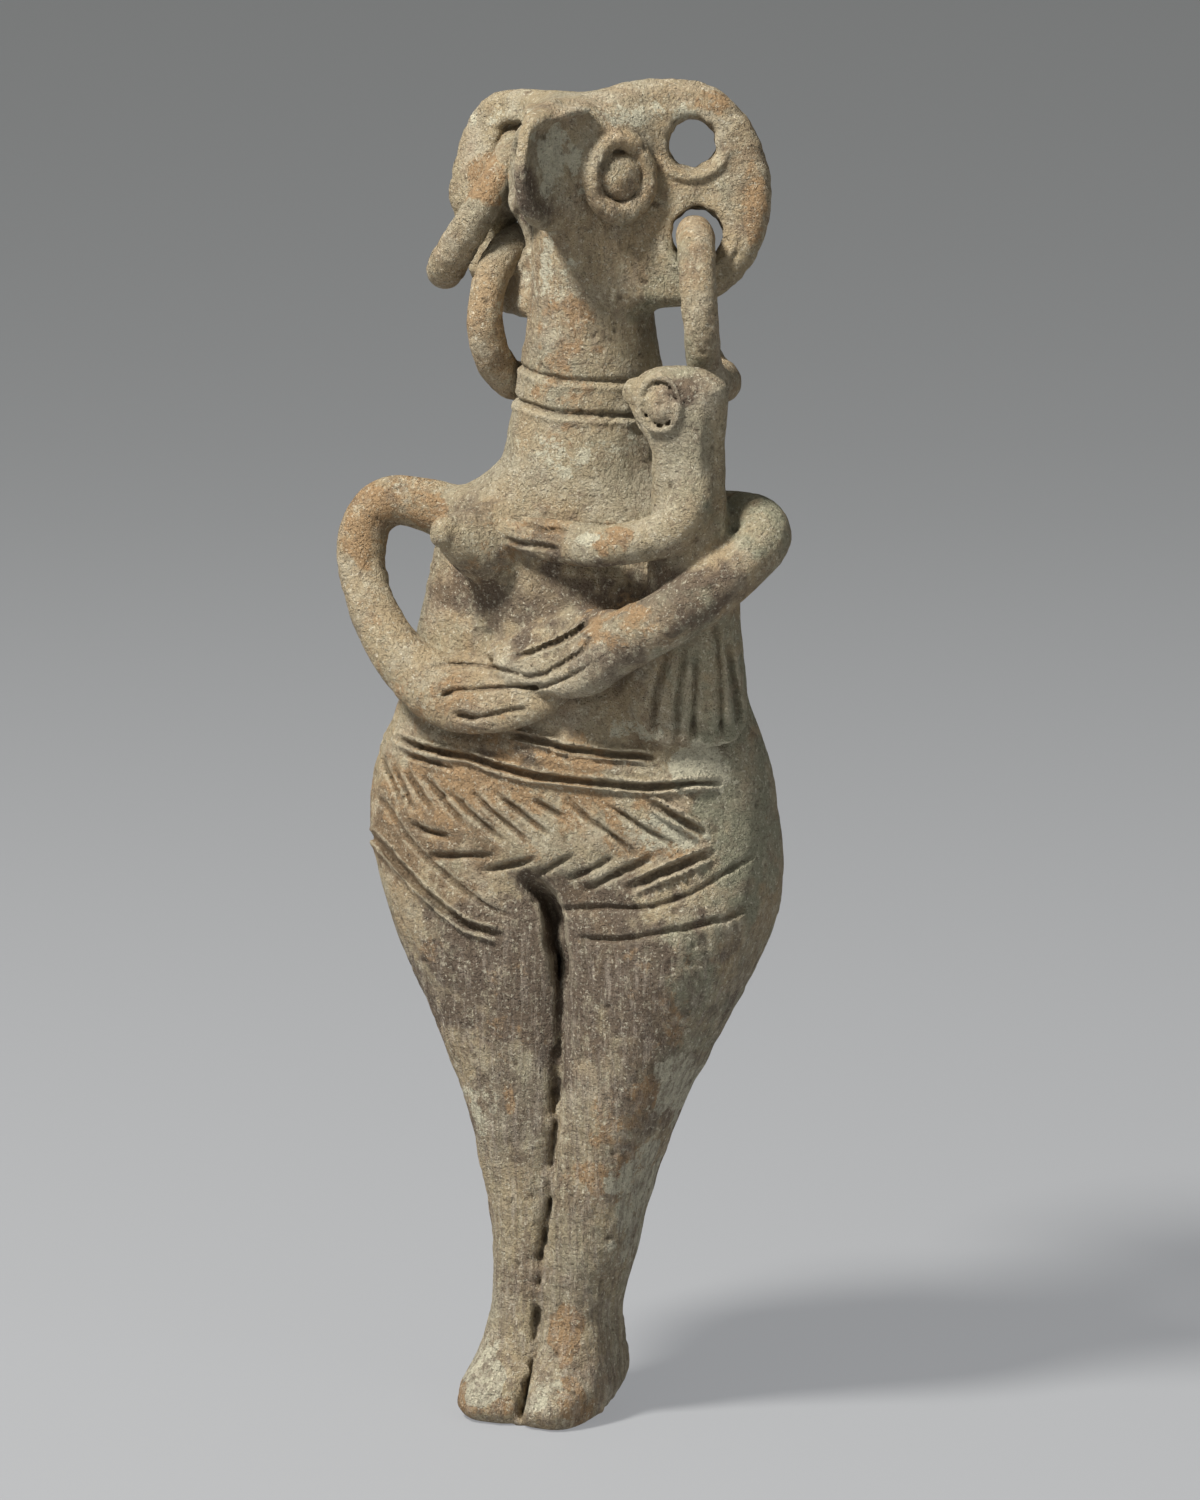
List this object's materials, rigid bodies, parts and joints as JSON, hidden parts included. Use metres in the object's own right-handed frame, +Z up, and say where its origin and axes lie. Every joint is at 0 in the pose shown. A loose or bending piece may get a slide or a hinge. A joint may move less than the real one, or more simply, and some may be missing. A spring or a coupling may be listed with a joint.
{
  "type": "bronze age figurine",
  "caption": "Handmade terracotta woman with a bird's face and large pierced ears, holding an infant to her chest, with clay ring earrings.",
  "frame": {"origin": "on the ground under the middle of the figurine and its earrings", "axes": "+Z up from the soles to the crown, face towards -Y, her left side and the infant on +X"},
  "size_m": [0.0757, 0.0454, 0.2075],
  "materials": {
    "clay": "unglazed fired clay, buff, worn and dusty",
    "ring_clay": "unglazed fired clay, browner buff, worn"
  },
  "bodies": {
    "root": {"figurine": "clay", "earring_left_lower": "ring_clay", "earring_right_upper": "ring_clay", "earring_right_lower": "ring_clay"}
  },
  "joints": []
}
